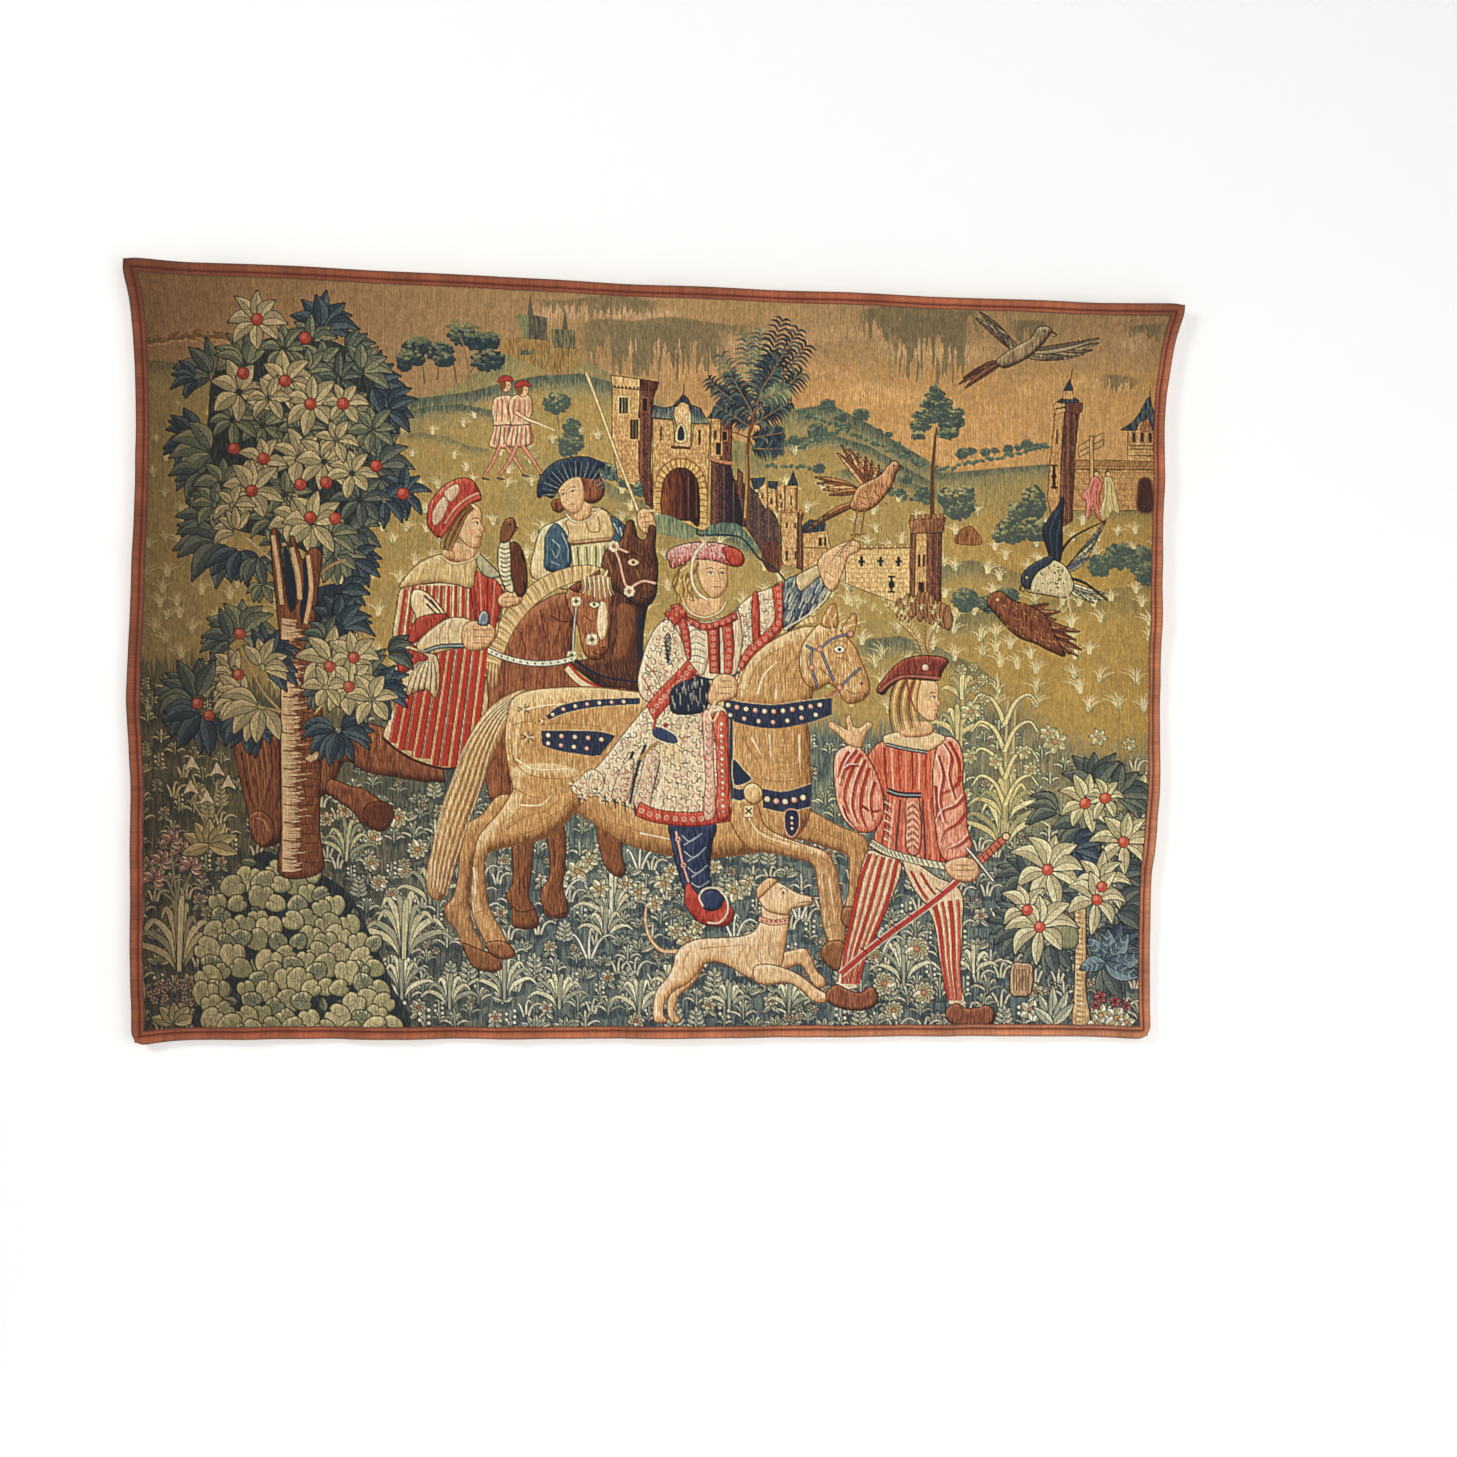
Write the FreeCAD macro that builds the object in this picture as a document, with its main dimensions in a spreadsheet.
import FreeCAD, Part
import math
import os
import Sketcher

# Woven tapestry wall hanging on a telescopic steel rod in three wall cradles.
# Millimetres. Origin: the wall plane at the centre bracket's screw pattern.
# +X right as seen from the room, +Y into the wall, +Z up. The face is at -Y.

doc = FreeCAD.newDocument("wall_hanging")
V = FreeCAD.Vector

# ---------------------------------------------------------------- dimensions
dims = doc.addObject("Spreadsheet::Sheet", "dims")
values = [
    ("textile_width", 2050.0),      # finished width over the borders
    ("textile_drop", 1500.0),       # finished height over the borders
    ("top_above_rod", 26.0),        # top edge above the rod axis
    ("border_width", 24.0),         # woven galloon sewn on the face
    ("border_thick", 1.8),
    ("panel_inset", 3.0),           # panel edge inside the border's edge
    ("panel_thick", 2.0),
    ("lining_inset", 9.0),
    ("lining_thick", 0.8),
    ("lining_back", -35.0),         # back face of the lining
    ("tape_width", 12.0),
    ("tape_thick", 1.0),
    ("tape_low", 12.5),             # lower edge of the heading tape above the rod axis
    ("tape_side_inset", 12.0),
    ("label_width", 60.0),
    ("label_height", 40.0),
    ("label_thick", 0.6),
    ("label_from_side", 90.0),
    ("label_from_bottom", 70.0),
    ("rod_back", -22.0),            # rod axis in front of the wall
    ("outer_tube_dia", 19.0),
    ("outer_tube_bore", 16.2),
    ("inner_tube_dia", 16.0),
    ("inner_tube_bore", 13.6),
    ("outer_tube_left", -1012.0),
    ("outer_tube_len", 1162.0),
    ("inner_tube_left", -250.0),
    ("inner_tube_len", 1262.0),
    ("plug_head", 2.2),
    ("plug_spigot", 12.0),
    ("plug_play", 0.2),
    ("sleeve_inner_rad", 10.5),
    ("sleeve_cloth", 1.0),
    ("sleeve_seam_low", -60.0),
    ("sleeve_seam_width", 10.0),
    ("sleeve_end_length", 135.0),
    ("sleeve_mid_length", 790.0),
    ("sleeve_end_reach", 1015.0),
    ("sleeve_gap_half", 30.0),
    ("bracket_pitch", 850.0),
    ("plate_width", 24.0),
    ("plate_height", 46.0),
    ("plate_thick", 3.0),
    ("plate_corner", 5.0),
    ("cradle_width", 16.0),
    ("cradle_wall", 2.0),
    ("cradle_play", 0.3),
    ("lip_height", 2.0),
    ("arm_low", -9.0),
    ("screw_pitch", 30.0),
    ("screw_hole_rad", 2.3),
    ("screw_rad", 2.0),
    ("screw_neck_rad", 1.5),
    ("screw_length", 30.0),
    ("screw_tip", 4.0),
    ("screw_head_rad", 4.0),
    ("screw_head_thick", 2.4),
]
for row, (alias, number) in enumerate(values, 1):
    dims.set("A%d" % row, alias)
    dims.set("B%d" % row, str(number))
    dims.setAlias("B%d" % row, alias)
doc.recompute()
known = dict(values)


def number(expression):
    """The value of a size expression, for placing geometry before it is constrained."""
    text = str(expression)
    for alias in sorted(known, key=len, reverse=True):
        text = text.replace("dims." + alias, "(%r)" % known[alias])
    return reckon(text)


def reckon(text):
    """Value of a plain arithmetic expression: + - * / ^2, brackets and sqrt()."""
    tokens, i = [], 0
    while i < len(text):
        c = text[i]
        if c.isspace():
            i += 1
        elif c.isdigit() or c == ".":
            j = i
            while j < len(text) and (text[j].isdigit() or text[j] == "."):
                j += 1
            tokens.append(float(text[i:j]))
            i = j
        elif text.startswith("sqrt", i):
            tokens.append("sqrt")
            i += 4
        else:
            tokens.append(c)
            i += 1
    pos = [0]

    def peek():
        return tokens[pos[0]] if pos[0] < len(tokens) else None

    def take():
        pos[0] += 1
        return tokens[pos[0] - 1]

    def atom():
        t = take()
        if t == "(":
            out = total()
            take()
        elif t == "sqrt":
            take()
            out = math.sqrt(total())
            take()
        elif t == "-":
            return -power()
        else:
            out = t
        return out

    def power():
        out = atom()
        while peek() == "^":
            take()
            out = out ** atom()
        return out

    def term():
        out = power()
        while peek() in ("*", "/"):
            out = out * power() if take() == "*" else out / power()
        return out

    def total():
        out = term()
        while peek() in ("+", "-"):
            out = out + term() if take() == "+" else out - term()
        return out

    return total()


def body(name, x="0", y="0", z="0"):
    b = doc.addObject("PartDesign::Body", name)
    b.Label = name
    b.Placement = FreeCAD.Placement(V(number(x), number(y), number(z)), FreeCAD.Rotation())
    for axis, e in (("x", x), ("y", y), ("z", z)):
        if str(e) != "0":
            b.setExpression("Placement.Base." + axis, str(e))
    return b


def sketch(b, role, name, lift=None):
    """A sketch on one of the body's own origin planes, lifted off it by an expression."""
    plane = [f for f in b.Origin.OriginFeatures if f.Role == role][0]
    sk = b.newObject("Sketcher::SketchObject", name)
    sk.AttachmentSupport = [(plane, "")]
    sk.MapMode = "FlatFace"
    if lift is not None:
        sk.AttachmentOffset = FreeCAD.Placement(V(0, 0, number(lift)), FreeCAD.Rotation())
        sk.setExpression("AttachmentOffset.Base.z", lift)
    return sk


def fix(sk, kind, geo, pos, expression):
    """Hold one coordinate of a sketch point at a size expression."""
    if str(expression) == "0":
        sk.addConstraint(Sketcher.Constraint("PointOnObject", geo, pos, -1 if kind == "DistanceY" else -2))
        return
    n = sk.addConstraint(Sketcher.Constraint(kind, geo, pos, number(expression)))
    sk.setExpression("Constraints[%d]" % n, str(expression))


def outline(sk, points, arcs=None):
    """A closed outline. points are (x, y, held) with size expressions; arcs maps an
    edge number to (radius, turns_ccw) for an arc about the sketch's own origin."""
    arcs = arcs or {}
    n = len(points)
    at = [V(number(p[0]), number(p[1]), 0) for p in points]
    ends = []
    for i in range(n):
        a, b = at[i], at[(i + 1) % n]
        if i in arcs:
            r, ccw = number(arcs[i][0]), arcs[i][1]
            s, e = (a, b) if ccw else (b, a)
            t0, t1 = math.atan2(s.y, s.x), math.atan2(e.y, e.x)
            if t1 <= t0:
                t1 += 2 * math.pi
            g = sk.addGeometry(Part.ArcOfCircle(Part.Circle(V(0, 0, 0), V(0, 0, 1), r), t0, t1), False)
            ends.append((g, 1, 2) if ccw else (g, 2, 1))
        else:
            g = sk.addGeometry(Part.LineSegment(a, b), False)
            ends.append((g, 1, 2))
    for i in range(n):
        g, s, e = ends[i]
        h, s2, e2 = ends[(i + 1) % n]
        sk.addConstraint(Sketcher.Constraint("Coincident", g, e, h, s2))
    for i, (r, ccw) in arcs.items():
        g = ends[i][0]
        sk.addConstraint(Sketcher.Constraint("Coincident", g, 3, -1, 1))
        k = sk.addConstraint(Sketcher.Constraint("Radius", g, number(r)))
        sk.setExpression("Constraints[%d]" % k, str(r))
    for i, p in enumerate(points):
        g, s, e = ends[i]
        if "x" in p[2]:
            fix(sk, "DistanceX", g, s, p[0])
        if "y" in p[2]:
            fix(sk, "DistanceY", g, s, p[1])


def circle(sk, x, y, radius):
    g = sk.addGeometry(Part.Circle(V(number(x), number(y), 0), V(0, 0, 1), number(radius)), False)
    if str(x) == "0" and str(y) == "0":
        sk.addConstraint(Sketcher.Constraint("Coincident", g, 3, -1, 1))
    else:
        fix(sk, "DistanceX", g, 3, x)
        fix(sk, "DistanceY", g, 3, y)
    k = sk.addConstraint(Sketcher.Constraint("Radius", g, number(radius)))
    sk.setExpression("Constraints[%d]" % k, str(radius))


def pad(b, sk, name, length, middle=False, back=False):
    p = b.newObject("PartDesign::Pad", name)
    p.Profile = sk
    p.Length = number(length)
    p.setExpression("Length", str(length))
    if middle:
        p.Midplane = True
    if back:
        p.Reversed = True
    sk.Visibility = False
    return p


def flat_piece(name, corners, back, thick):
    """A flat cloth piece: its outline on the XZ plane, padded towards the room."""
    b = body(name, y=back)
    sk = sketch(b, "XZ_Plane", name + "_outline")
    outline(sk, [(x, z, "xy") for x, z in corners])
    pad(b, sk, name + "_pad", thick)
    return b


# ------------------------------------------------------------------ textile
half = "dims.textile_width/2"
top = "dims.top_above_rod"
low = "dims.top_above_rod-dims.textile_drop"
panel_back = "dims.lining_back-dims.lining_thick"
border_back = "dims.lining_back-dims.lining_thick-dims.panel_thick"
pieces = []

# the pictorial panel
L, R = "-dims.textile_width/2+dims.panel_inset", "dims.textile_width/2-dims.panel_inset"
T, B = top + "-dims.panel_inset", low + "+dims.panel_inset"
pieces.append(flat_piece("tapestry_panel", [(L, B), (R, B), (R, T), (L, T)], panel_back, "dims.panel_thick"))

# the lining that covers its back
L, R = "-dims.textile_width/2+dims.lining_inset", "dims.textile_width/2-dims.lining_inset"
T, B = top + "-dims.lining_inset+8", low + "+dims.lining_inset"
pieces.append(flat_piece("lining", [(L, B), (R, B), (R, T), (L, T)], "dims.lining_back", "dims.lining_thick"))

# four border strips, mitred at the corners
ol, orr, ot, ob = "-dims.textile_width/2", half, top, low
il, ir = ol + "+dims.border_width", half + "-dims.border_width"
it, ib = top + "-dims.border_width", low + "+dims.border_width"
for name, corners in (
    ("border_top", [(il, it), (ir, it), (orr, ot), (ol, ot)]),
    ("border_right", [(ir, ib), (orr, ob), (orr, ot), (ir, it)]),
    ("border_bottom", [(ol, ob), (orr, ob), (ir, ib), (il, ib)]),
    ("border_left", [(ol, ob), (il, ib), (il, it), (ol, ot)]),
):
    pieces.append(flat_piece(name, corners, border_back, "dims.border_thick"))

# twill tape along the top of the lining, which the rod sleeves are sewn to
L, R = "-dims.textile_width/2+dims.tape_side_inset", "dims.textile_width/2-dims.tape_side_inset"
pieces.append(flat_piece(
    "heading_tape",
    [(L, "dims.tape_low"), (R, "dims.tape_low"), (R, "dims.tape_low+dims.tape_width"), (L, "dims.tape_low+dims.tape_width")],
    "dims.lining_back+dims.tape_thick", "dims.tape_thick"))

# a blank label near the lower corner of the lining
L = "-dims.textile_width/2+dims.label_from_side"
R = L + "+dims.label_width"
B = low + "+dims.label_from_bottom"
T = B + "+dims.label_height"
pieces.append(flat_piece("care_label", [(L, B), (R, B), (R, T), (L, T)], "dims.lining_back+dims.label_thick", "dims.label_thick"))

# rod sleeves: cloth that wraps the back of the rod from the tape down to the lining
ri = "dims.sleeve_inner_rad"
ro = "dims.sleeve_inner_rad+dims.sleeve_cloth"
face = "dims.lining_back-dims.rod_back"
on_tape = face + "+dims.tape_thick"
seam = "dims.sleeve_seam_low"
foot = seam + "-dims.sleeve_seam_width"
tape_top = "dims.tape_low+8.5"


def sleeve(name, left, length):
    b = body(name, x=left, y="dims.rod_back")
    sk = sketch(b, "YZ_Plane", name + "_section")
    points = [
        (on_tape + "+dims.sleeve_cloth", tape_top, "xy"),
        (on_tape + "+dims.sleeve_cloth", "dims.tape_low+1.1", "xy"),
        ("-3", "sqrt((" + ro + ")^2-9)", "x"),
        ("4", "-sqrt((" + ro + ")^2-16)", "x"),
        (face + "+dims.sleeve_cloth", seam, "xy"),
        (face + "+dims.sleeve_cloth", foot, "xy"),
        (face, foot, "xy"),
        (face, seam + "+1", "xy"),
        ("3.2", "-sqrt((" + ri + ")^2-10.24)", "x"),
        ("-3", "sqrt((" + ri + ")^2-9)", "x"),
        (on_tape, "dims.tape_low+0.1", "xy"),
        (on_tape, tape_top, "xy"),
    ]
    outline(sk, points, {2: (ro, False), 8: (ri, True)})
    pad(b, sk, name + "_pad", length)
    return b


pieces.append(sleeve("sleeve_end_left", "-dims.sleeve_end_reach", "dims.sleeve_end_length"))
pieces.append(sleeve("sleeve_left", "-dims.sleeve_gap_half-dims.sleeve_mid_length", "dims.sleeve_mid_length"))
pieces.append(sleeve("sleeve_right", "dims.sleeve_gap_half", "dims.sleeve_mid_length"))
pieces.append(sleeve("sleeve_end_right", "dims.sleeve_end_reach-dims.sleeve_end_length", "dims.sleeve_end_length"))


# ---------------------------------------------------------------------- rod
def tube(name, left, length, outer, bore):
    b = body(name, x=left, y="dims.rod_back")
    sk = sketch(b, "YZ_Plane", name + "_ring")
    circle(sk, "0", "0", outer + "/2")
    circle(sk, "0", "0", bore + "/2")
    pad(b, sk, name + "_pad", length)
    return b


pieces.append(tube("rod_outer_tube", "dims.outer_tube_left", "dims.outer_tube_len", "dims.outer_tube_dia", "dims.outer_tube_bore"))
pieces.append(tube("rod_inner_tube", "dims.inner_tube_left", "dims.inner_tube_len", "dims.inner_tube_dia", "dims.inner_tube_bore"))


def plug(name, at, outer, bore, to_left):
    """A push-in end plug: a head as wide as the tube, with a softened rim, and a spigot."""
    b = body(name, x=at, y="dims.rod_back")
    head = sketch(b, "YZ_Plane", name + "_head")
    circle(head, "0", "0", outer + "/2")
    pad(b, head, name + "_head_pad", "dims.plug_head", back=to_left)
    spigot = sketch(b, "YZ_Plane", name + "_spigot")
    circle(spigot, "0", "0", "(" + bore + "-dims.plug_play)/2")
    last = pad(b, spigot, name + "_spigot_pad", "dims.plug_spigot", back=not to_left)
    doc.recompute()
    rim = []
    for k, edge in enumerate(last.Shape.Edges, 1):
        box = edge.BoundBox
        reach = box.XMin if to_left else box.XMax
        end = last.Shape.BoundBox.XMin if to_left else last.Shape.BoundBox.XMax
        if box.XLength < 1e-6 and abs(reach - end) < 1e-6:
            rim.append("Edge%d" % k)
    f = b.newObject("PartDesign::Fillet", name + "_rim")
    f.Base = (last, rim)
    f.Radius = 1.2
    return b


pieces.append(plug("rod_plug_left", "dims.outer_tube_left", "dims.outer_tube_dia", "dims.outer_tube_bore", True))
pieces.append(plug("rod_plug_right", "dims.inner_tube_left+dims.inner_tube_len", "dims.inner_tube_dia", "dims.inner_tube_bore", False))


# ----------------------------------------------------------------- brackets
def bracket(name, x, tube_dia):
    """A screwed plate with an arm and an open-topped cradle for the rod."""
    b = body(name, x=x, y="dims.rod_back")
    pl = sketch(b, "XZ_Plane", name + "_plate", lift="dims.rod_back")
    w, hh = "dims.plate_width/2", "dims.plate_height/2"
    outline(pl, [("-" + w, "-" + hh, "xy"), (w, "-" + hh, "xy"), (w, hh, "xy"), ("-" + w, hh, "xy")])
    circle(pl, "0", "dims.screw_pitch/2", "dims.screw_hole_rad")
    circle(pl, "0", "-dims.screw_pitch/2", "dims.screw_hole_rad")
    plate = pad(b, pl, name + "_plate_pad", "dims.plate_thick")
    doc.recompute()
    corners = []
    for k, edge in enumerate(plate.Shape.Edges, 1):
        box = edge.BoundBox
        if box.XLength < 1e-6 and box.ZLength < 1e-6 and len(edge.Vertexes) == 2:
            corners.append("Edge%d" % k)
    f = b.newObject("PartDesign::Fillet", name + "_corners")
    f.Base = (plate, corners)
    f.Radius = number("dims.plate_corner")
    f.setExpression("Radius", "dims.plate_corner")
    cr = sketch(b, "YZ_Plane", name + "_cradle")
    rin = tube_dia + "/2+dims.cradle_play"
    rout = rin + "+dims.cradle_wall"
    wall = "-dims.rod_back-dims.plate_thick"
    lip = "dims.lip_height"
    points = [
        (rin, lip, "xy"),
        (wall, lip, "xy"),
        (wall, "dims.arm_low", "xy"),
        ("sqrt((" + rout + ")^2-(dims.arm_low)^2)", "dims.arm_low", "y"),
        ("-(" + rout + ")", "0", "y"),
        ("-(" + rout + ")", lip, "xy"),
        ("-(" + rin + ")", lip, "xy"),
        ("-(" + rin + ")", "0", "y"),
        (rin, "0", "y"),
    ]
    outline(cr, points, {3: (rout, False), 7: (rin, True)})
    pad(b, cr, name + "_cradle_pad", "dims.cradle_width", middle=True)
    return b


pieces.append(bracket("bracket_left", "-dims.bracket_pitch", "dims.outer_tube_dia"))
pieces.append(bracket("bracket_centre", "0", "dims.outer_tube_dia"))
pieces.append(bracket("bracket_right", "dims.bracket_pitch", "dims.inner_tube_dia"))


# -------------------------------------------------------------- wall screws
def cylinder(name, x, y, z, radius, length):
    c = doc.addObject("Part::Cylinder", name)
    c.setExpression("Radius", radius)
    c.setExpression("Height", length)
    # the axis runs into the wall, along +Y
    c.Placement = FreeCAD.Placement(V(number(x), number(y), number(z)), FreeCAD.Rotation(V(1, 0, 0), -90))
    for axis, e in (("x", x), ("y", y), ("z", z)):
        if str(e) != "0":
            c.setExpression("Placement.Base." + axis, e)
    return c


screws = []
for side, x in (("left", "-dims.bracket_pitch"), ("centre", "0"), ("right", "dims.bracket_pitch")):
    for level, z in (("upper", "dims.screw_pitch/2"), ("lower", "-dims.screw_pitch/2")):
        tag = "screw_" + side + "_" + level
        head = cylinder(tag + "_head", x, "-dims.plate_thick-dims.screw_head_thick", z, "dims.screw_head_rad", "dims.screw_head_thick")
        neck = cylinder(tag + "_neck", x, "-dims.plate_thick", z, "dims.screw_neck_rad", "dims.plate_thick")
        shank = cylinder(tag + "_shank", x, "0", z, "dims.screw_rad", "dims.screw_length-dims.screw_tip")
        tip = doc.addObject("Part::Cone", tag + "_tip")
        tip.setExpression("Radius1", "dims.screw_rad")
        tip.Radius2 = 0.4
        tip.setExpression("Height", "dims.screw_tip")
        tip.Placement = FreeCAD.Placement(
            V(number(x), number("dims.screw_length-dims.screw_tip"), number(z)), FreeCAD.Rotation(V(1, 0, 0), -90))
        if x != "0":
            tip.setExpression("Placement.Base.x", x)
        tip.setExpression("Placement.Base.y", "dims.screw_length-dims.screw_tip")
        tip.setExpression("Placement.Base.z", z)
        whole = doc.addObject("Part::MultiFuse", tag)
        whole.Shapes = [head, neck, shank, tip]
        screws.append(whole)
group = doc.addObject("Part::Compound", "wall_screws")
group.Label = "wall_screws"
group.Links = screws
pieces.append(group)

# ------------------------------------------------------------ check and write
doc.recompute()
for obj in doc.Objects:
    if "Invalid" in obj.State or "Error" in obj.State:
        raise RuntimeError("%s is %s" % (obj.Name, obj.State))
os.makedirs("parts", exist_ok=True)
for obj in pieces:
    shape = obj.Shape
    if shape.isNull() or not shape.isValid():
        raise RuntimeError("%s has no valid shape" % obj.Label)
    shape.exportStep("parts/" + obj.Label + ".step")
